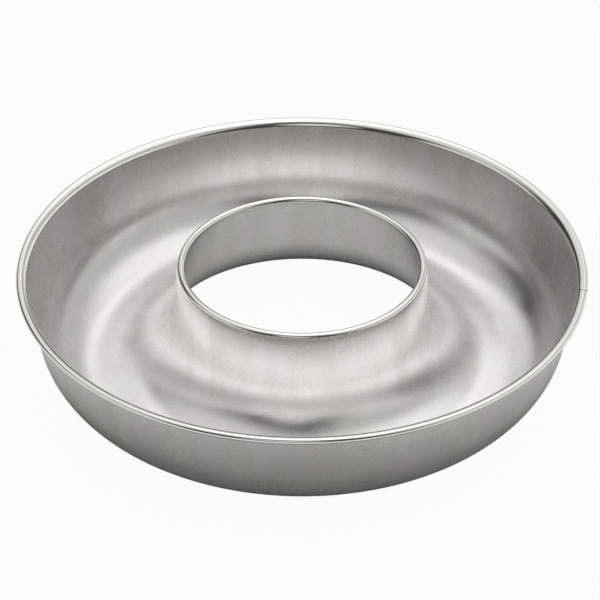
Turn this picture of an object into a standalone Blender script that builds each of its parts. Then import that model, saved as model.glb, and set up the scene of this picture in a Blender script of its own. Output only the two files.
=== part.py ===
"""Savarin mould: a pressed tinplate ring trough, with a wired roll on its rim and one round its hole.

The ring stands on the Z axis, open side up, with the origin under its middle.
Sections are drawn in the XZ plane as (r, z) points. Angles in a section are degrees from straight
up, positive towards the rim.
"""

import math

import bmesh
import bpy

# Overall sizes, in metres
RIM_DIAMETER = 0.240
HOLE_DIAMETER = 0.0988
HEIGHT = 0.0475
SHEET = 0.0004

# Trough
OUTER_DRAFT = 8.0
INNER_DRAFT = 5.5
LAND_WIDTH = 0.0060

# Rim: the wall flares outwards at this radius, then the edge rolls down over its wire
FLARE_RADIUS = 0.0036

# Wires: rings cut open, whose ends almost meet at one place on the ring
RIM_WIRE_DIAMETER = 0.0011
HOLE_WIRE_DIAMETER = 0.0019
WIRE_END_GAP = 0.0010
WIRE_JOINT_AZIMUTH = -9.6

# Clearances
WIRE_CLEARANCE = 0.0003
ROLL_EDGE_GAP = 0.0005

# Facets
TURN_STEPS = 64
RIM_ROLL_STEPS = 9
FLARE_STEPS = 4
BEND_STEPS = 6
HOLE_ROLL_STEPS = 10
WIRE_BEVEL_RESOLUTION = 2
MERGE_DISTANCE = 0.00001

# Finishes
TINPLATE_COLOUR = (0.56, 0.56, 0.55)
TINPLATE_ROUGHNESS = 0.35
WIRE_COLOUR = (0.35, 0.35, 0.36)
WIRE_ROUGHNESS = 0.45

# Each roll is as large as its wire, the clearance and the sheet make it. Centres are (r, z) points.
RIM_ROLL_RADIUS = RIM_WIRE_DIAMETER / 2 + WIRE_CLEARANCE + SHEET
RIM_ROLL_CENTRE = (RIM_DIAMETER / 2 - RIM_ROLL_RADIUS, HEIGHT - RIM_ROLL_RADIUS)
HOLE_ROLL_RADIUS = HOLE_WIRE_DIAMETER / 2 + WIRE_CLEARANCE + SHEET
HOLE_ROLL_CENTRE = (HOLE_DIAMETER / 2 + HOLE_ROLL_RADIUS, HEIGHT - HOLE_ROLL_RADIUS)


def clear_scene():
    for obj in list(bpy.data.objects):
        bpy.data.objects.remove(obj, do_unlink=True)


def make_material(name, colour, roughness):
    material = bpy.data.materials.new(name)
    material.use_nodes = True
    shader = material.node_tree.nodes["Principled BSDF"]
    shader.inputs["Base Color"].default_value = (*colour, 1.0)
    shader.inputs["Metallic"].default_value = 1.0
    shader.inputs["Roughness"].default_value = roughness
    return material


def polar(centre, radius, angle):
    """The (r, z) point at a distance from a centre, at an angle from straight up."""
    a = math.radians(angle)
    return (centre[0] + radius * math.sin(a), centre[1] + radius * math.cos(a))


def arc(centre, radius, start, end, steps):
    return [polar(centre, radius, start + (end - start) * i / steps) for i in range(steps + 1)]


def rim_roll_end(flare_centre):
    """Angle at which the rim roll's free edge stops, short of the underside of the flare."""
    offset = FLARE_RADIUS - RIM_ROLL_RADIUS
    reach = FLARE_RADIUS - SHEET - ROLL_EDGE_GAP
    cosine = (reach ** 2 - RIM_ROLL_RADIUS ** 2 - offset ** 2) / (2 * RIM_ROLL_RADIUS * offset)
    return 360 - math.degrees(math.acos(max(-1.0, min(1.0, cosine))))


def hole_roll_end(slope):
    """Angle at which the hole roll's free edge stops, short of the underside of the wall."""
    cosine = 1 - (SHEET + ROLL_EDGE_GAP) / HOLE_ROLL_RADIUS
    return slope + math.degrees(math.acos(cosine)) - 360


def foot_of_wall(point, slope, side):
    """Distance from the axis at which a straight wall through a point would meet the ground.

    The side is -1 for the outer wall, which leans in going down, and 1 for the inner wall.
    """
    return point[0] + side * point[1] / math.tan(math.radians(slope))


def sheet_section():
    """Closed outline of the sheet, down its outer face and back up over its inner one."""
    outer_slope = 90 - OUTER_DRAFT
    inner_slope = 90 - INNER_DRAFT
    flare_centre = (RIM_ROLL_CENTRE[0], HEIGHT - FLARE_RADIUS)

    # Both bottom bends have the one radius that leaves a flat land of the stated width
    outer_wall_top = polar(flare_centre, FLARE_RADIUS - SHEET, -outer_slope)
    inner_wall_top = polar(HOLE_ROLL_CENTRE, HOLE_ROLL_RADIUS - SHEET, inner_slope)
    outer_foot = foot_of_wall(outer_wall_top, outer_slope, -1)
    inner_foot = foot_of_wall(inner_wall_top, inner_slope, 1)
    outer_half_tan = math.tan(math.radians(outer_slope / 2))
    inner_half_tan = math.tan(math.radians(inner_slope / 2))
    bend_radius = (outer_foot - inner_foot - LAND_WIDTH) / (outer_half_tan + inner_half_tan)
    outer_bend_centre = (outer_foot - bend_radius * outer_half_tan, bend_radius)
    inner_bend_centre = (inner_foot + bend_radius * inner_half_tan, bend_radius)

    # Each run is an arc: centre, radius of the top face, radius of the underside, angles and steps
    rim_inside = RIM_ROLL_RADIUS - SHEET
    hole_inside = HOLE_ROLL_RADIUS - SHEET
    bend_inside = bend_radius - SHEET
    hole_end = hole_roll_end(inner_slope)
    runs = [
        (RIM_ROLL_CENTRE, RIM_ROLL_RADIUS, rim_inside, rim_roll_end(flare_centre), 0, RIM_ROLL_STEPS),
        (flare_centre, FLARE_RADIUS, FLARE_RADIUS - SHEET, 0, -outer_slope, FLARE_STEPS),
        (outer_bend_centre, bend_inside, bend_radius, 180 - outer_slope, 180, BEND_STEPS),
        (inner_bend_centre, bend_inside, bend_radius, 180, 180 + inner_slope, BEND_STEPS),
        (HOLE_ROLL_CENTRE, HOLE_ROLL_RADIUS, hole_inside, inner_slope, hole_end, HOLE_ROLL_STEPS),
    ]
    top_face = []
    underside = []
    for centre, top_radius, under_radius, start, end, steps in runs:
        top_face += arc(centre, top_radius, start, end, steps)
        underside += arc(centre, under_radius, start, end, steps)
    return underside + top_face[::-1]


def turned_object(name, outline, material, collection):
    """A closed outline turned round the Z axis."""
    mesh = bpy.data.meshes.new(name)
    section = bmesh.new()
    vertices = [section.verts.new((r, 0.0, z)) for r, z in outline]
    for i, vertex in enumerate(vertices):
        section.edges.new((vertices[i - 1], vertex))
    bmesh.ops.remove_doubles(section, verts=section.verts, dist=MERGE_DISTANCE)
    section.to_mesh(mesh)
    section.free()
    mesh.materials.append(material)
    obj = bpy.data.objects.new(name, mesh)
    collection.objects.link(obj)
    screw = obj.modifiers.new("turn", "SCREW")
    screw.axis = "Z"
    screw.angle = 2 * math.pi
    screw.steps = TURN_STEPS
    screw.render_steps = TURN_STEPS
    screw.use_merge_vertices = True
    screw.merge_threshold = MERGE_DISTANCE
    screw.use_smooth_shade = True
    return obj


def wire_azimuths(ring_radius):
    """Angles round the ring from one wire end to the other, in step with the sheet's facets."""
    half_gap = math.degrees(WIRE_END_GAP / 2 / ring_radius)
    step = 360 / TURN_STEPS
    start = WIRE_JOINT_AZIMUTH + half_gap
    end = WIRE_JOINT_AZIMUTH + 360 - half_gap
    first = math.floor(start / step) + 1
    last = math.ceil(end / step) - 1
    return [start] + [i * step for i in range(first, last + 1)] + [end]


def facet_share(azimuth):
    """How near the axis a turned facet is at an azimuth, as a share of its edges' distance."""
    step = 360 / TURN_STEPS
    off_middle = azimuth % step - step / 2
    return math.cos(math.radians(step / 2)) / math.cos(math.radians(off_middle))


def wire_ring(name, centre, diameter, material, collection):
    """An open ring of round wire that lies in the middle of its roll."""
    curve = bpy.data.curves.new(name, "CURVE")
    curve.dimensions = "3D"
    curve.bevel_depth = diameter / 2
    curve.bevel_resolution = WIRE_BEVEL_RESOLUTION
    curve.use_fill_caps = True
    curve.materials.append(material)
    azimuths = wire_azimuths(centre[0])
    spline = curve.splines.new("POLY")
    spline.points.add(len(azimuths) - 1)
    for point, azimuth in zip(spline.points, azimuths):
        a = math.radians(azimuth)
        r = centre[0] * facet_share(azimuth)
        point.co = (r * math.cos(a), r * math.sin(a), 0.0, 1.0)
    obj = bpy.data.objects.new(name, curve)
    obj.location = (0.0, 0.0, centre[1])
    collection.objects.link(obj)
    return obj


def main():
    clear_scene()
    collection = bpy.data.collections.new("savarin_mould")
    bpy.context.scene.collection.children.link(collection)
    origin = bpy.data.objects.new("mould_origin", None)
    collection.objects.link(origin)

    tinplate = make_material("tinplate", TINPLATE_COLOUR, TINPLATE_ROUGHNESS)
    wire = make_material("steel_wire", WIRE_COLOUR, WIRE_ROUGHNESS)
    pieces = [
        turned_object("ring_shell", sheet_section(), tinplate, collection),
        wire_ring("rim_wire", RIM_ROLL_CENTRE, RIM_WIRE_DIAMETER, wire, collection),
        wire_ring("hole_rim_wire", HOLE_ROLL_CENTRE, HOLE_WIRE_DIAMETER, wire, collection),
    ]
    for piece in pieces:
        piece.parent = origin


if __name__ == "__main__":
    main()
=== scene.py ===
"""Savarin mould: a pressed tinplate ring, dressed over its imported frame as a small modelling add-on.

Lengths are in metres, and the object's axis is Z. A section of the ring is drawn in the XZ plane as
(r, z) points, with angles in degrees from straight up, positive towards the rim.
"""

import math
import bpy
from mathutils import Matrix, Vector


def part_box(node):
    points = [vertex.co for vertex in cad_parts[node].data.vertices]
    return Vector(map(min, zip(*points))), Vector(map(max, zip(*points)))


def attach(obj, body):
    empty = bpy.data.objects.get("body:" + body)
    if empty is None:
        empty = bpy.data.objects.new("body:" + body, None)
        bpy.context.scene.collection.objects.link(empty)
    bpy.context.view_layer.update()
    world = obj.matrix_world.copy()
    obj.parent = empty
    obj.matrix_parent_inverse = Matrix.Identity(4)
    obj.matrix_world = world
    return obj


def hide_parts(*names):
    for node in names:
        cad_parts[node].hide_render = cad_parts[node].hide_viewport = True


bl_info = {
    "name": "Savarin Mould",
    "version": (1, 0, 0),
    "blender": (4, 5, 0),
    "location": "View3D > Sidebar > Savarin Mould",
    "description": "Models a wired tinplate ring mould and the studio it stands in",
    "category": "Add Mesh",
}

import bpy
from bpy.props import FloatProperty, FloatVectorProperty, IntProperty, PointerProperty
from bpy.types import Operator, Panel, PropertyGroup

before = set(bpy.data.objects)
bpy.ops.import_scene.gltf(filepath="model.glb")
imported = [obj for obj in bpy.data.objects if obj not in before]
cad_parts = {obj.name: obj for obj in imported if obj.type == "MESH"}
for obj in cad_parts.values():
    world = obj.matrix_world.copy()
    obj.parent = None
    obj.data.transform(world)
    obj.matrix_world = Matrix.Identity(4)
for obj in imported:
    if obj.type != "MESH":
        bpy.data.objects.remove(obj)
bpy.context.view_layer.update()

MILLIMETRE = 0.001
MERGE_DISTANCE = 0.000001
SMOOTH_ANGLE = math.radians(50)

# Where the frame's solids lie
SHELL_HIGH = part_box("ring_shell")[1]
RIM_WIRE_LOW, RIM_WIRE_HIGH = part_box("rim_wire")
HOLE_WIRE_LOW, HOLE_WIRE_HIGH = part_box("hole_rim_wire")
RIM_ROLL_RADIUS = SHELL_HIGH.z - (RIM_WIRE_LOW.z + RIM_WIRE_HIGH.z) / 2
RIM_ROLL_CENTRE = (SHELL_HIGH.x - RIM_ROLL_RADIUS, SHELL_HIGH.z - RIM_ROLL_RADIUS)
HOLE_ROLL_RADIUS = SHELL_HIGH.z - (HOLE_WIRE_LOW.z + HOLE_WIRE_HIGH.z) / 2
HOLE_ROLL_CENTRE = (
    HOLE_WIRE_HIGH.x - (HOLE_WIRE_HIGH.z - HOLE_WIRE_LOW.z) / 2,
    SHELL_HIGH.z - HOLE_ROLL_RADIUS,
)

# The rim's part of the sheet lies above this height and further out than this distance
RIM_BOTTOM = SHELL_HIGH.z - 2 * RIM_ROLL_RADIUS - MILLIMETRE
RIM_INSIDE = RIM_ROLL_CENTRE[0] - RIM_ROLL_RADIUS - MILLIMETRE

# Angular steps of the section's facets in degrees, and the pieces that a straight wall is cut into
ROLL_STEP = 11.0
FLARE_STEP = 6.0
BEND_STEP = 3.5
WALL_PIECES = 6
WIRE_FACETS = 20

# Camera: its distance in front of the axis, its height, and its angles in degrees
CAMERA_DISTANCE = 0.8016
CAMERA_HEIGHT = 0.5946
CAMERA_TILT = 35.25
CAMERA_PAN = 0.062
CAMERA_LENS = 138.2
CAMERA_SENSOR = 36.0

# The floor lies just under the land, so that the two never share a plane
FLOOR_SIZE = 6.0
FLOOR_DROP = 0.0001


def linear_colour(hex_colour):
    """The linear RGBA value of an sRGB hex colour."""
    channels = [int(hex_colour[i:i + 2], 16) / 255 for i in (1, 3, 5)]
    linear = [c / 12.92 if c <= 0.04045 else ((c + 0.055) / 1.055) ** 2.4 for c in channels]
    return (*linear, 1.0)


class MouldSizes(PropertyGroup):
    """Sizes of the sheet, its rolls and the wires"""

    sheet: FloatProperty(
        name="Sheet", description="Thickness of the tinplate", default=0.0004, unit="LENGTH")
    outer_draft: FloatProperty(
        name="Outer draft", description="Lean of the outer wall", default=math.radians(8.0), unit="ROTATION")
    inner_draft: FloatProperty(
        name="Inner draft", description="Lean of the inner wall", default=math.radians(5.5), unit="ROTATION")
    land_width: FloatProperty(
        name="Land", description="Width of the flat ring it stands on", default=0.006, unit="LENGTH")
    flare_radius: FloatProperty(
        name="Flare", description="Radius at which the wall turns out at the rim", default=0.0036,
        unit="LENGTH")
    roll_gap: FloatProperty(
        name="Roll gap", description="Gap between a roll's free edge and the wall", default=0.0005,
        unit="LENGTH")
    segments: IntProperty(
        name="Segments", description="Facets round the ring", default=360, min=24)
    wire_clearance: FloatProperty(
        name="Wire clearance", description="Gap between a wire and the roll closed over it",
        default=0.00005, unit="LENGTH")
    wire_gap: FloatProperty(
        name="Wire gap", description="Gap between the two ends of a wire", default=0.001, unit="LENGTH")
    joint_azimuth: FloatProperty(
        name="Joint", description="Place on the ring where the ends of the wires meet",
        default=math.radians(-9.6), unit="ROTATION")
    crease_depth: FloatProperty(
        name="Crease", description="Depth of the crease over the joint of the rim wire",
        default=0.00022, unit="LENGTH")
    rim_step: FloatProperty(
        name="Rim step", description="How far the rim steps in on the near side of the joint",
        default=0.0002, unit="LENGTH")


class MouldFinish(PropertyGroup):
    """Colours and roughness of the tin and the wire"""

    tin_light: FloatVectorProperty(
        name="Tin", description="Clean tin coating", subtype="COLOR", size=4,
        default=linear_colour("#f5f5f4"))
    tin_dull: FloatVectorProperty(
        name="Drawn tin", description="Tin dulled where the walls were drawn", subtype="COLOR", size=4,
        default=linear_colour("#e4e4e1"))
    tin_cool: FloatVectorProperty(
        name="Cool tin", description="Tin with the faint purple of heat", subtype="COLOR", size=4,
        default=linear_colour("#eeebed"))
    pit: FloatVectorProperty(
        name="Pits", description="Bare steel at the bottom of a pit", subtype="COLOR", size=4,
        default=linear_colour("#6f6c68"))
    # Painted shade: a dark colour laid in the crease over the joint of the rim wire
    painted_crease_shade: FloatVectorProperty(
        name="Painted shade", description="Dirt in the crease at the joint", subtype="COLOR", size=4,
        default=linear_colour("#3c3a38"))
    wire: FloatVectorProperty(
        name="Wire", description="Drawn steel wire", subtype="COLOR", size=4,
        default=linear_colour("#b4b2b0"))
    roughness: FloatProperty(
        name="Roughness", description="Roughness of the tin coating", default=0.28, min=0.0, max=1.0,
        subtype="FACTOR")
    burnish: FloatProperty(
        name="Burnish", description="How much smoother the rolls are than the rest", default=0.17,
        min=0.0, max=1.0, subtype="FACTOR")


class MouldStudio(PropertyGroup):
    """The floor's colour and the strength of each light"""

    floor: FloatVectorProperty(
        name="Floor", description="Colour of the floor", subtype="COLOR", size=4,
        default=linear_colour("#bebebe"))
    surround: FloatProperty(
        name="Surround", description="Light from the room between the softboxes", default=0.05, min=0.0)
    overhead: FloatProperty(
        name="Overhead", description="Strength of the softbox above the mould", default=0.5, min=0.0)
    back: FloatProperty(
        name="Back", description="Strength of the softbox behind the mould", default=0.67, min=0.0)
    right: FloatProperty(
        name="Right", description="Strength of the large softbox on the right", default=0.45, min=0.0)
    left: FloatProperty(
        name="Left", description="Strength of the high softbox on the left", default=0.66, min=0.0)
    front: FloatProperty(
        name="Front", description="Strength of the small softbox over the camera", default=0.7, min=0.0)
    screen: FloatProperty(
        name="Screen", description="Light from the low pale screen on the right", default=0.5, min=0.0)
    left_wall: FloatProperty(
        name="Left wall", description="Light from the pale wall on the left", default=0.6, min=0.0)


def add_node(tree, kind, settings=None, inputs=None):
    """Adds a node: settings are its attributes, inputs are values or other nodes' output sockets."""
    node = tree.nodes.new(kind)
    for name, value in (settings or {}).items():
        setattr(node, name, value)
    for socket, value in (inputs or {}).items():
        if isinstance(value, bpy.types.NodeSocket):
            tree.links.new(value, node.inputs[socket])
        else:
            node.inputs[socket].default_value = value
    return node


def new_material(name):
    """An empty node material and its output node."""
    material = bpy.data.materials.new(name)
    material.use_nodes = True
    material.node_tree.nodes.clear()
    return material, add_node(material.node_tree, "ShaderNodeOutputMaterial")


def polar(centre, radius, angle):
    """The (r, z) point at a distance from a centre, at an angle from straight up."""
    a = math.radians(angle)
    return (centre[0] + radius * math.sin(a), centre[1] + radius * math.cos(a))


def arc(centre, radius, start, end, step):
    """Points along an arc, about a step of degrees apart, both ends included."""
    count = max(1, round(abs(end - start) / step))
    return [polar(centre, radius, start + (end - start) * i / count) for i in range(count + 1)]


def straight(start, end, count):
    """The points between two points, neither end included."""
    return [
        (start[0] + (end[0] - start[0]) * i / count, start[1] + (end[1] - start[1]) * i / count)
        for i in range(1, count)
    ]


def upper_face(sizes):
    """The sheet's upper face, from the rim roll's free edge to the hole roll's."""
    outer_slope = 90 - math.degrees(sizes.outer_draft)
    inner_slope = 90 - math.degrees(sizes.inner_draft)
    sheet = sizes.sheet
    flare_centre = (RIM_ROLL_CENTRE[0], SHELL_HIGH.z - sizes.flare_radius)

    # Both bottom bends have the one radius that leaves a flat land of the stated width
    outer_top = polar(flare_centre, sizes.flare_radius - sheet, -outer_slope)
    inner_top = polar(HOLE_ROLL_CENTRE, HOLE_ROLL_RADIUS - sheet, inner_slope)
    outer_foot = outer_top[0] - outer_top[1] / math.tan(math.radians(outer_slope))
    inner_foot = inner_top[0] + inner_top[1] / math.tan(math.radians(inner_slope))
    outer_tan = math.tan(math.radians(outer_slope / 2))
    inner_tan = math.tan(math.radians(inner_slope / 2))
    bend = (outer_foot - inner_foot - sizes.land_width) / (outer_tan + inner_tan)
    outer_centre = (outer_foot - bend * outer_tan, bend)
    inner_centre = (inner_foot + bend * inner_tan, bend)

    # The rim roll stops short of the underside of the flare, the hole roll short of the wall
    offset = RIM_ROLL_CENTRE[1] - flare_centre[1]
    reach = sizes.flare_radius - sheet - sizes.roll_gap
    rim_cosine = (reach ** 2 - RIM_ROLL_RADIUS ** 2 - offset ** 2) / (2 * RIM_ROLL_RADIUS * offset)
    rim_end = 360 - math.degrees(math.acos(rim_cosine))
    hole_cosine = 1 - (sheet + sizes.roll_gap) / HOLE_ROLL_RADIUS
    hole_end = inner_slope + math.degrees(math.acos(hole_cosine)) - 360

    rim_roll = arc(RIM_ROLL_CENTRE, RIM_ROLL_RADIUS, rim_end, 0, ROLL_STEP)
    flare = arc(flare_centre, sizes.flare_radius, 0, -outer_slope, FLARE_STEP)
    outer_bend = arc(outer_centre, bend - sheet, 180 - outer_slope, 180, BEND_STEP)
    inner_bend = arc(inner_centre, bend - sheet, 180, 180 + inner_slope, BEND_STEP)
    hole_roll = arc(HOLE_ROLL_CENTRE, HOLE_ROLL_RADIUS, inner_slope, hole_end, ROLL_STEP)
    outer_wall = straight(flare[-1], outer_bend[0], WALL_PIECES)
    inner_wall = straight(inner_bend[-1], hole_roll[0], WALL_PIECES)
    return rim_roll + flare[1:] + outer_wall + outer_bend + inner_bend + inner_wall + hole_roll


def deselect_all():
    """Deselects every object, before an operator that acts on all that is selected."""
    for obj in bpy.context.selected_objects:
        obj.select_set(False)


def clear_edit_selection(kind):
    """Deselects the whole mesh in edit mode, for what is then selected by its place."""
    bpy.ops.object.mode_set(mode="EDIT")
    bpy.ops.mesh.select_mode(type=kind)
    bpy.ops.mesh.select_all(action="DESELECT")
    bpy.ops.object.mode_set(mode="OBJECT")


def trace_section(name, points):
    """A chain of edges through (r, z) points, drawn by extruding a single vertex. Left in edit mode."""
    deselect_all()
    bpy.ops.mesh.primitive_plane_add(size=MILLIMETRE, location=(points[0][0], 0.0, points[0][1]))
    bpy.context.object.name = name
    bpy.context.object.data.name = name
    bpy.ops.object.transform_apply(location=True, rotation=True, scale=True)
    bpy.ops.object.mode_set(mode="EDIT")
    bpy.ops.mesh.select_mode(type="VERT")
    bpy.ops.mesh.select_all(action="SELECT")
    bpy.ops.mesh.merge(type="CENTER")
    for (r0, z0), (r1, z1) in zip(points, points[1:]):
        bpy.ops.mesh.extrude_region_move(TRANSFORM_OT_translate={"value": (r1 - r0, 0.0, z1 - z0)})
    return bpy.context.object


def spin_selection(segments, angle):
    """Turns all that is in edit mode round the axis, closes its seam and turns its faces outwards."""
    bpy.ops.mesh.select_all(action="SELECT")
    bpy.ops.mesh.spin(steps=segments, angle=angle, center=(0.0, 0.0, 0.0), axis=(0.0, 0.0, 1.0))
    bpy.ops.mesh.select_all(action="SELECT")
    bpy.ops.mesh.remove_doubles(threshold=MERGE_DISTANCE)
    bpy.ops.mesh.normals_make_consistent(inside=False)
    bpy.ops.object.mode_set(mode="OBJECT")


def azimuth_of(point):
    """A point's angle round the axis, from the right towards the back."""
    return math.atan2(point.y, point.x)


def cut_rim(shell, azimuth):
    """Cuts the rim and its roll along the plane through the axis at an azimuth."""
    reach = math.radians(1.5)
    outer_part = HOLE_ROLL_CENTRE[0] * 2
    clear_edit_selection("FACE")
    for face in shell.data.polygons:
        near = abs(azimuth_of(face.center) - azimuth) < reach
        face.select = near and face.center.z > RIM_BOTTOM and face.center.x > outer_part
    bpy.ops.object.mode_set(mode="EDIT")
    bpy.ops.mesh.bisect(
        plane_co=(0.0, 0.0, 0.0), plane_no=(-math.sin(azimuth), math.cos(azimuth), 0.0),
        threshold=MERGE_DISTANCE)
    bpy.ops.object.mode_set(mode="OBJECT")


def press_rim(shell, azimuth, depth):
    """Presses the rim and its roll in by a depth along one cut."""
    tolerance = math.radians(0.01)
    clear_edit_selection("VERT")
    for vertex in shell.data.vertices:
        on_cut = abs(azimuth_of(vertex.co) - azimuth) < tolerance
        vertex.select = on_cut and vertex.co.z > RIM_BOTTOM and vertex.co.x > RIM_INSIDE
    bpy.ops.object.mode_set(mode="EDIT")
    bpy.ops.transform.shrink_fatten(value=-depth)
    bpy.ops.object.mode_set(mode="OBJECT")


def crease_rim(shell, sizes):
    """The roll closed over the gap between the wire's ends: a fine crease there and a small step."""
    joint = sizes.joint_azimuth
    lip = math.radians(0.26)
    side = math.radians(0.1)
    side_share = 0.45
    for azimuth in (joint - lip, joint - side, joint + side, joint + lip):
        cut_rim(shell, azimuth)
    for azimuth, share in ((joint, 1.0), (joint - side, side_share), (joint + side, side_share)):
        press_rim(shell, azimuth, sizes.crease_depth * share)

    # On the near side of the joint the rim lies a little further in, and eases out again along it. The
    # bottom of the crease stays where it is.
    run = math.radians(14)
    joint_share = 0.001
    for vertex in shell.data.vertices:
        past = (joint - azimuth_of(vertex.co)) / run
        distance = math.hypot(vertex.co.x, vertex.co.y)
        if joint_share < past < 1 and distance > RIM_INSIDE:
            ease = (1 - past) ** 2 * min(1.0, (distance - RIM_INSIDE) / MILLIMETRE)
            scale = 1 - sizes.rim_step * ease / distance
            vertex.co.x *= scale
            vertex.co.y *= scale


class MOULD_OT_ring_shell(Operator):
    """Draw the sheet's section, spin it round the axis, crease its rim and give it its thickness"""

    bl_idname = "mould.ring_shell"
    bl_label = "Ring shell"
    bl_options = {"REGISTER", "UNDO"}

    def execute(self, context):
        sizes = context.scene.mould_sizes
        shell = trace_section("tinplate_ring", upper_face(sizes))
        spin_selection(sizes.segments, 2 * math.pi)

        # The trough's floor shows which way round the open sheet came out
        floor_faces = [f for f in shell.data.polygons if f.center.z < 2 * sizes.sheet]
        if sum(f.normal.z for f in floor_faces) < 0:
            bpy.ops.object.mode_set(mode="EDIT")
            bpy.ops.mesh.select_all(action="SELECT")
            bpy.ops.mesh.flip_normals()
            bpy.ops.object.mode_set(mode="OBJECT")
        crease_rim(shell, sizes)
        wall = shell.modifiers.new("sheet", "SOLIDIFY")
        wall.thickness = sizes.sheet
        wall.offset = -1.0
        wall.use_even_offset = True
        bpy.ops.object.modifier_apply(modifier=wall.name)
        bpy.ops.object.shade_smooth_by_angle(angle=SMOOTH_ANGLE)
        shell.data.materials.append(tinplate_material(context.scene.mould_finish, sizes.joint_azimuth))
        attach(shell, "root")
        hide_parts("ring_shell")
        return {"FINISHED"}


def wire_ring(name, centre, radius, sizes, material):
    """An open ring of round wire: a disc spun round the axis, all but the gap between its ends."""
    half_gap = sizes.wire_gap / 2 / centre[0]
    deselect_all()
    bpy.ops.mesh.primitive_circle_add(
        vertices=WIRE_FACETS, radius=radius, fill_type="NGON", location=(centre[0], 0.0, centre[1]),
        rotation=(math.pi / 2, 0.0, 0.0))
    wire = bpy.context.object
    wire.name = name
    wire.data.name = name
    bpy.ops.object.transform_apply(location=True, rotation=True, scale=True)
    bpy.ops.object.mode_set(mode="EDIT")
    spin_selection(sizes.segments, 2 * math.pi - 2 * half_gap)
    wire.rotation_euler.z = sizes.joint_azimuth - half_gap
    bpy.ops.object.transform_apply(location=True, rotation=True, scale=True)
    bpy.ops.object.shade_smooth_by_angle(angle=SMOOTH_ANGLE)
    wire.data.materials.append(material)
    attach(wire, "root")
    return wire


class MOULD_OT_wires(Operator):
    """Lay a steel wire in each roll, with its ends almost meeting at the joint"""

    bl_idname = "mould.wires"
    bl_label = "Wires"
    bl_options = {"REGISTER", "UNDO"}

    def execute(self, context):
        sizes = context.scene.mould_sizes
        material = wire_material(context.scene.mould_finish)
        # The crease presses the rim's roll in, so its wire is thinner by as much
        taken = sizes.sheet + sizes.wire_clearance + sizes.crease_depth
        rim = wire_ring("rolled_rim_wire", RIM_ROLL_CENTRE, RIM_ROLL_RADIUS - taken, sizes, material)
        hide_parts("rim_wire")
        taken = sizes.sheet + sizes.wire_clearance
        hole = wire_ring("rolled_hole_wire", HOLE_ROLL_CENTRE, HOLE_ROLL_RADIUS - taken, sizes, material)
        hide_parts("hole_rim_wire")
        return {"FINISHED"}


def repeats(x, y, z):
    """How often features of these sizes, in millimetres, come in a metre along each axis."""
    return (1 / (x * MILLIMETRE), 1 / (y * MILLIMETRE), 1 / (z * MILLIMETRE))


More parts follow.
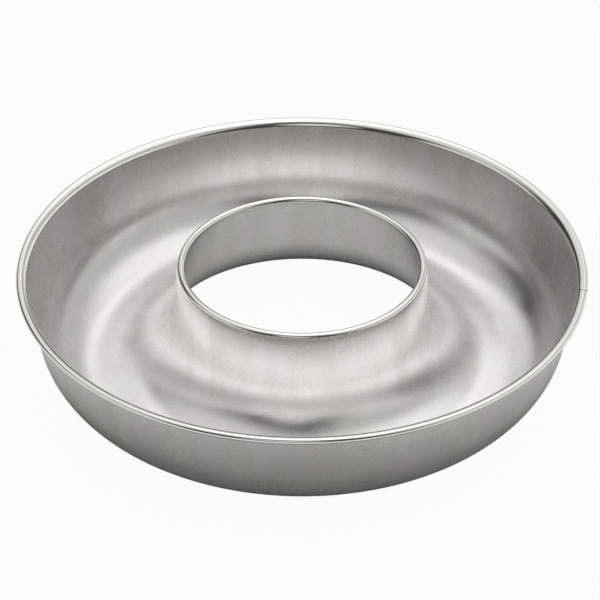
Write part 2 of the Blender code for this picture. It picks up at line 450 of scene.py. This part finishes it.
def tinplate_material(finish, joint):
    # Tinplate: mild steel sheet with a bright tin coating, drawn in a press. To the eye it is a soft grey
    # mirror, a little cloudy, duller in upright bands where the walls were drawn, brighter and smoother on
    # the rolls, where the closing tool burnished it, with a grain from the rolling mill and a few pits.
    material, output = new_material("pressed_tinplate")
    tree = material.node_tree
    place = add_node(tree, "ShaderNodeTexCoord").outputs["Object"]
    height = add_node(tree, "ShaderNodeSeparateXYZ", inputs={0: place}).outputs["Z"]

    # A place on the ring's surface: the way round it, and the climb from the middle of the trough
    middle = (RIM_ROLL_CENTRE[0] + HOLE_ROLL_CENTRE[0]) / 2
    flat = add_node(tree, "ShaderNodeVectorMath", {"operation": "MULTIPLY"}, {
        0: place, 1: (1.0, 1.0, 0.0)})
    distance = add_node(tree, "ShaderNodeVectorMath", {"operation": "LENGTH"}, {0: flat.outputs[0]})
    outward = add_node(tree, "ShaderNodeVectorMath", {"operation": "NORMALIZE"}, {0: flat.outputs[0]})
    off_middle = add_node(tree, "ShaderNodeMath", {"operation": "SUBTRACT"}, {
        0: distance.outputs["Value"], 1: middle})
    across = add_node(tree, "ShaderNodeMath", {"operation": "ABSOLUTE"}, {0: off_middle.outputs[0]})
    section = add_node(tree, "ShaderNodeMath", {"operation": "ADD"}, {0: across.outputs[0], 1: height})
    climb = add_node(tree, "ShaderNodeCombineXYZ", inputs={"Z": section.outputs[0]})

    # Flats where the sheet bent unevenly, 16 mm wide at the rim and 45 mm long
    around = add_node(tree, "ShaderNodeVectorMath", {"operation": "SCALE"}, {
        0: outward.outputs[0], "Scale": RIM_ROLL_CENTRE[0] / (16 * MILLIMETRE)})
    along = add_node(tree, "ShaderNodeVectorMath", {"operation": "SCALE"}, {
        0: climb.outputs[0], "Scale": 1 / (45 * MILLIMETRE)})
    flats_place = add_node(tree, "ShaderNodeVectorMath", {"operation": "ADD"}, {
        0: around.outputs[0], 1: along.outputs[0]})

    # Bands down the walls, 11 mm wide and 60 mm long, and the press's draw marks, 1.8 mm by 30 mm
    bands_place = add_node(tree, "ShaderNodeMapping", inputs={
        "Vector": place, "Scale": repeats(11, 11, 60)})
    marks_place = add_node(tree, "ShaderNodeMapping", inputs={
        "Vector": place, "Scale": repeats(1.8, 1.8, 30)})
    # The mill's grain: straight lines 0.7 mm apart, drawn wider than the real 0.1 mm so that they show
    grain_place = add_node(tree, "ShaderNodeMapping", inputs={
        "Vector": place, "Rotation": (0.0, 0.0, math.radians(24)), "Scale": repeats(30, 0.7, 8)})

    # Clouds in the coating are 22 mm across, and the ripple of hand-worn tin 7 mm. Each noise has its
    # place, scale and detail, and the two of its levels that are stretched to 0 and 1.
    noises = []
    for where, scale, detail, low, high in (
        (place, 1 / (22 * MILLIMETRE), 3.0, 0.35, 0.65),
        (bands_place.outputs[0], 1.0, 1.5, 0.35, 0.65),
        (marks_place.outputs[0], 1.0, 2.0, 0.3, 0.7),
        (flats_place.outputs[0], 1.0, 1.0, 0.3, 0.7),
        (place, 1 / (7 * MILLIMETRE), 1.0, 0.3, 0.7),
        (grain_place.outputs[0], 1.0, 2.0, 0.3, 0.7),
    ):
        raw = add_node(tree, "ShaderNodeTexNoise", inputs={
            "Vector": where, "Scale": scale, "Detail": detail, "Roughness": 0.55})
        level = add_node(tree, "ShaderNodeMapRange", inputs={
            "Value": raw.outputs["Fac"], "From Min": low, "From Max": high})
        noises.append(level.outputs["Result"])
    clouds, bands, draw_marks, flats, ripple, grain = noises

    # Pits, 0.75 mm across, one to a patch of about 26 mm
    patch = 26
    cells = add_node(tree, "ShaderNodeTexVoronoi", inputs={
        "Vector": place, "Scale": 1 / (patch * MILLIMETRE)})
    # Distances from the joint of the rim wire, across it and along it
    off_joint = add_node(tree, "ShaderNodeVectorMath", {"operation": "DOT_PRODUCT"}, {
        0: place, 1: (-math.sin(joint), math.cos(joint), 0.0)})
    aside = add_node(tree, "ShaderNodeMath", {"operation": "ABSOLUTE"}, {0: off_joint.outputs["Value"]})
    along_joint = add_node(tree, "ShaderNodeVectorMath", {"operation": "DOT_PRODUCT"}, {
        0: place, 1: (math.cos(joint), math.sin(joint), 0.0)})

    # Masks, each 0 at the first level of its value and 1 at the second: the walls above the bends, the
    # rolls with the flange beside them, the pits, the crease over the joint, and the rim
    top = SHELL_HIGH.z
    roll_centre = RIM_ROLL_CENTRE[0]
    masks = []
    for value, none, full in (
        (height, 6 * MILLIMETRE, 20 * MILLIMETRE),
        (height, top - 3.4 * MILLIMETRE, top - 2.2 * MILLIMETRE),
        (cells.outputs["Distance"], 0.5 / patch, 0.25 / patch),
        (aside.outputs[0], 0.24 * MILLIMETRE, 0.1 * MILLIMETRE),
        (along_joint.outputs["Value"], roll_centre - 2.6 * MILLIMETRE, roll_centre - 1.6 * MILLIMETRE),
    ):
        mask = add_node(tree, "ShaderNodeMapRange", {"interpolation_type": "SMOOTHSTEP"}, {
            "Value": value, "From Min": none, "From Max": full})
        masks.append(mask.outputs["Result"])
    walls, rolls, pits, crease, rim = masks

    overlaps = []
    for first, second in ((walls, bands), (walls, draw_marks), (crease, rim)):
        both = add_node(tree, "ShaderNodeMath", {"operation": "MULTIPLY"}, {0: first, 1: second})
        overlaps.append(both.outputs[0])
    wall_bands, wall_marks, painted_crease_shade = overlaps

    # The coating's colours, each laid over the ones before it by a share of its mask
    colour = tuple(finish.tin_cool)
    for mask, share, layer in (
        (clouds, 0.8, finish.tin_light),
        (wall_bands, 0.7, finish.tin_dull),
        (rolls, 0.8, finish.tin_light),
        # Dark shade painted into the crease over the joint, on the rim
        (painted_crease_shade, 0.85, finish.painted_crease_shade),
        (pits, 0.7, finish.pit),
    ):
        cover = add_node(tree, "ShaderNodeMath", {"operation": "MULTIPLY"}, {0: mask, 1: share})
        colour = add_node(tree, "ShaderNodeMix", {"data_type": "RGBA"}, {
            0: cover.outputs[0], 6: colour, 7: tuple(layer)}).outputs[2]

    # What each pattern adds to the roughness. Together they add about this much, so it is taken off first.
    added = 0.06
    roughness = finish.roughness - added
    for pattern, amount in (
        (clouds, 0.04), (bands, 0.03), (wall_marks, 0.014), (grain, 0.012), (pits, 0.2),
        (rolls, -finish.burnish),
    ):
        roughness = add_node(tree, "ShaderNodeMath", {"operation": "MULTIPLY_ADD"}, {
            0: pattern, 1: amount, 2: roughness}).outputs[0]
    # What each adds to the relief, in millimetres
    relief = 0.0
    for pattern, amount in (
        (flats, 0.02), (ripple, 0.007), (wall_marks, 0.0008), (grain, 0.0001), (pits, -0.04),
    ):
        relief = add_node(tree, "ShaderNodeMath", {"operation": "MULTIPLY_ADD"}, {
            0: pattern, 1: amount, 2: relief}).outputs[0]

    bump = add_node(tree, "ShaderNodeBump", inputs={
        "Height": relief, "Distance": MILLIMETRE, "Strength": 1.0})
    shader = add_node(tree, "ShaderNodeBsdfPrincipled", inputs={
        "Base Color": colour, "Metallic": 1.0, "Roughness": roughness, "Normal": bump.outputs["Normal"]})
    tree.links.new(shader.outputs["BSDF"], output.inputs["Surface"])
    return material


def wire_material(finish):
    # Bright drawn steel wire: darker than the tin round it, with fine lines along it from the die.
    material, output = new_material("drawn_steel_wire")
    tree = material.node_tree
    place = add_node(tree, "ShaderNodeTexCoord").outputs["Object"]
    flat = add_node(tree, "ShaderNodeVectorMath", {"operation": "MULTIPLY"}, {
        0: place, 1: (1.0, 1.0, 0.0)})
    distance = add_node(tree, "ShaderNodeVectorMath", {"operation": "LENGTH"}, {0: flat.outputs[0]})
    height = add_node(tree, "ShaderNodeSeparateXYZ", inputs={0: place}).outputs["Z"]
    lengthwise = add_node(tree, "ShaderNodeCombineXYZ", inputs={
        "X": distance.outputs["Value"], "Y": height})
    # Die lines 0.15 mm apart, drawn wider than the real ones, and stains 9 mm across
    lines = add_node(tree, "ShaderNodeTexNoise", inputs={
        "Vector": lengthwise.outputs[0], "Scale": 1 / (0.15 * MILLIMETRE), "Detail": 2.0})
    stains = add_node(tree, "ShaderNodeTexNoise", inputs={
        "Vector": place, "Scale": 1 / (9 * MILLIMETRE), "Detail": 3.0})
    shade = add_node(tree, "ShaderNodeMix", {"data_type": "RGBA"}, {
        0: stains.outputs["Fac"], 6: tuple(finish.wire), 7: tuple(finish.pit)})
    roughness = add_node(tree, "ShaderNodeMapRange", inputs={
        "Value": lines.outputs["Fac"], "To Min": 0.24, "To Max": 0.44})
    bump = add_node(tree, "ShaderNodeBump", inputs={
        "Height": lines.outputs["Fac"], "Distance": 0.006 * MILLIMETRE, "Strength": 1.0})
    shader = add_node(tree, "ShaderNodeBsdfPrincipled", inputs={
        "Base Color": shade.outputs[2], "Metallic": 1.0, "Roughness": roughness.outputs["Result"],
        "Normal": bump.outputs["Normal"]})
    tree.links.new(shader.outputs["BSDF"], output.inputs["Surface"])
    return material


def floor_material(studio):
    # A matt pale table top. It is lifted towards white for the camera. For metal and glass the lift is
    # painted by
    # distance: none in a painted shadow round the mould, a painted glow in the mould's hole, and less far
    # away.
    material, output = new_material("matt_table_top")
    tree = material.node_tree
    place = add_node(tree, "ShaderNodeTexCoord").outputs["Object"]
    # The painted shadow reaches further to the front than to the back, so its middle is in front of the axis
    shadow_shift = (0.0, 0.025, 0.0)
    off_shadow = add_node(tree, "ShaderNodeVectorMath", {"operation": "ADD"}, {0: place, 1: shadow_shift})
    from_shadow = add_node(tree, "ShaderNodeVectorMath", {"operation": "LENGTH"}, {0: off_shadow.outputs[0]})
    from_axis = add_node(tree, "ShaderNodeVectorMath", {"operation": "LENGTH"}, {0: place})

    # Levels of the lift, each between two distances: outside the painted shadow, a painted glow in the hole,
    # and dimmer far away
    levels = []
    for distance, near, far, near_level, far_level in (
        (from_shadow, 0.1, 0.16, 0.0, 0.67),
        (from_axis, 0.04, 0.07, 0.32, 0.0),
        (from_shadow, 0.18, 0.6, 1.0, 0.45),
    ):
        level = add_node(tree, "ShaderNodeMapRange", {"interpolation_type": "SMOOTHSTEP"}, {
            "Value": distance.outputs["Value"], "From Min": near, "From Max": far, "To Min": near_level,
            "To Max": far_level})
        levels.append(level.outputs["Result"])
    outside, hole_glow, dimming = levels
    pool = add_node(tree, "ShaderNodeMath", {"operation": "MULTIPLY"}, {0: outside, 1: dimming})
    clear = add_node(tree, "ShaderNodeMath", {"operation": "ADD"}, {0: pool.outputs[0], 1: hole_glow})

    path = add_node(tree, "ShaderNodeLightPath")
    mirrored = add_node(tree, "ShaderNodeMath", {"operation": "MAXIMUM"}, {
        0: path.outputs["Is Glossy Ray"], 1: path.outputs["Is Transmission Ray"]})
    mirrored_clear = add_node(tree, "ShaderNodeMath", {"operation": "MULTIPLY"}, {
        0: mirrored.outputs[0], 1: clear.outputs[0]})
    seen = add_node(tree, "ShaderNodeMath", {"operation": "MAXIMUM"}, {
        0: path.outputs["Is Camera Ray"], 1: mirrored_clear.outputs[0]})
    full_lift = 0.96
    lift = add_node(tree, "ShaderNodeMath", {"operation": "MULTIPLY"}, {0: seen.outputs[0], 1: full_lift})
    matt = add_node(tree, "ShaderNodeBsdfDiffuse", inputs={"Color": tuple(studio.floor)})
    white = add_node(tree, "ShaderNodeEmission", inputs={"Strength": 1.0})
    surface = add_node(tree, "ShaderNodeMixShader", inputs={
        0: lift.outputs[0], 1: matt.outputs[0], 2: white.outputs[0]})
    tree.links.new(surface.outputs[0], output.inputs["Surface"])
    return material


def towards(azimuth, elevation):
    """The direction at an azimuth from the back towards the right, and at an elevation, in degrees."""
    level = math.cos(math.radians(elevation))
    return (
        level * math.sin(math.radians(azimuth)),
        level * math.cos(math.radians(azimuth)),
        math.sin(math.radians(elevation)),
    )


def studio_world(studio):
    """Soft light by direction: each softbox is a round patch of sky that fades out at its edge."""
    world = bpy.data.worlds.new("studio")
    world.use_nodes = True
    tree = world.node_tree
    tree.nodes.clear()
    direction = add_node(tree, "ShaderNodeTexCoord").outputs["Generated"]

    # Azimuth, elevation, strength, and the angles from the middle of the softbox at which it starts to
    # fade and has gone, in degrees
    softboxes = [
        (40, 70, studio.overhead, 20, 38),
        (-12, 36, studio.back, 14, 30),
        (76, 38, studio.right, 44, 65),
        (-80, 67, studio.left, 8, 46),
        (-173, 30, studio.front, 2, 19),
        (-101, -4, studio.left_wall, 25, 42),
    ]
    light = studio.surround
    for azimuth, elevation, strength, full, gone in softboxes:
        nearness = add_node(tree, "ShaderNodeVectorMath", {"operation": "DOT_PRODUCT"}, {
            0: direction, 1: towards(azimuth, elevation)})
        softbox = add_node(tree, "ShaderNodeMapRange", {"interpolation_type": "SMOOTHSTEP"}, {
            "Value": nearness.outputs["Value"], "From Min": math.cos(math.radians(gone)),
            "From Max": math.cos(math.radians(full)), "To Max": strength})
        light = add_node(tree, "ShaderNodeMath", {"operation": "ADD"}, {
            0: light, 1: softbox.outputs["Result"]}).outputs[0]

    # The screen stands on the right, up to an elevation of about 15 degrees
    screen_azimuth = 72
    height = add_node(tree, "ShaderNodeSeparateXYZ", inputs={0: direction}).outputs["Z"]
    below = add_node(tree, "ShaderNodeMapRange", {"interpolation_type": "SMOOTHSTEP"}, {
        "Value": height, "From Min": math.sin(math.radians(6)), "From Max": math.sin(math.radians(24)),
        "To Min": studio.screen, "To Max": 0.0})
    along = add_node(tree, "ShaderNodeVectorMath", {"operation": "DOT_PRODUCT"}, {
        0: direction, 1: towards(screen_azimuth, 0)})
    beside = add_node(tree, "ShaderNodeMapRange", {"interpolation_type": "SMOOTHSTEP"}, {
        "Value": along.outputs["Value"], "From Min": 0.35, "From Max": 0.75})
    screen = add_node(tree, "ShaderNodeMath", {"operation": "MULTIPLY"}, {
        0: below.outputs["Result"], 1: beside.outputs["Result"]})
    light = add_node(tree, "ShaderNodeMath", {"operation": "ADD"}, {0: light, 1: screen.outputs[0]})
    background = add_node(tree, "ShaderNodeBackground", inputs={
        "Color": (1.0, 1.0, 1.0, 1.0), "Strength": light.outputs[0]})
    add_node(tree, "ShaderNodeOutputWorld", inputs={"Surface": background.outputs[0]})
    return world


class MOULD_OT_studio(Operator):
    """Add the floor, the light and the camera"""

    bl_idname = "mould.studio"
    bl_label = "Studio"
    bl_options = {"REGISTER", "UNDO"}

    def execute(self, context):
        studio = context.scene.mould_studio
        deselect_all()
        bpy.ops.mesh.primitive_plane_add(size=FLOOR_SIZE, location=(0.0, 0.0, -FLOOR_DROP))
        floor = context.object
        floor.name = "floor"
        floor.data.materials.append(floor_material(studio))

        context.scene.world = studio_world(studio)
        bpy.ops.object.camera_add(
            location=(0.0, -CAMERA_DISTANCE, CAMERA_HEIGHT),
            rotation=(math.radians(90 - CAMERA_TILT), 0.0, math.radians(CAMERA_PAN)))
        camera = context.object
        camera.data.sensor_width = CAMERA_SENSOR
        camera.data.lens = CAMERA_LENS
        context.scene.camera = camera
        context.scene.view_settings.view_transform = "Standard"
        return {"FINISHED"}


class MOULD_PT_sidebar(Panel):
    """Sizes, finishes and studio of the savarin mould"""

    bl_idname = "MOULD_PT_sidebar"
    bl_label = "Savarin Mould"
    bl_space_type = "VIEW_3D"
    bl_region_type = "UI"
    bl_category = "Savarin Mould"

    def draw(self, context):
        layout = self.layout
        groups = [
            ("Sizes", context.scene.mould_sizes),
            ("Finish", context.scene.mould_finish),
            ("Studio", context.scene.mould_studio),
        ]
        for title, group in groups:
            box = layout.box()
            box.label(text=title)
            for name in group.__annotations__:
                box.prop(group, name)
        for operator in (MOULD_OT_ring_shell, MOULD_OT_wires, MOULD_OT_studio):
            layout.operator(operator.bl_idname)


CLASSES = (
    MouldSizes, MouldFinish, MouldStudio, MOULD_OT_ring_shell, MOULD_OT_wires, MOULD_OT_studio,
    MOULD_PT_sidebar,
)


def register():
    for cls in CLASSES:
        bpy.utils.register_class(cls)
    bpy.types.Scene.mould_sizes = PointerProperty(type=MouldSizes)
    bpy.types.Scene.mould_finish = PointerProperty(type=MouldFinish)
    bpy.types.Scene.mould_studio = PointerProperty(type=MouldStudio)


def unregister():
    del bpy.types.Scene.mould_studio
    del bpy.types.Scene.mould_finish
    del bpy.types.Scene.mould_sizes
    for cls in reversed(CLASSES):
        bpy.utils.unregister_class(cls)


def main():
    register()
    bpy.ops.mould.ring_shell()
    bpy.ops.mould.wires()
    bpy.ops.mould.studio()


if __name__ == "__main__":
    main()
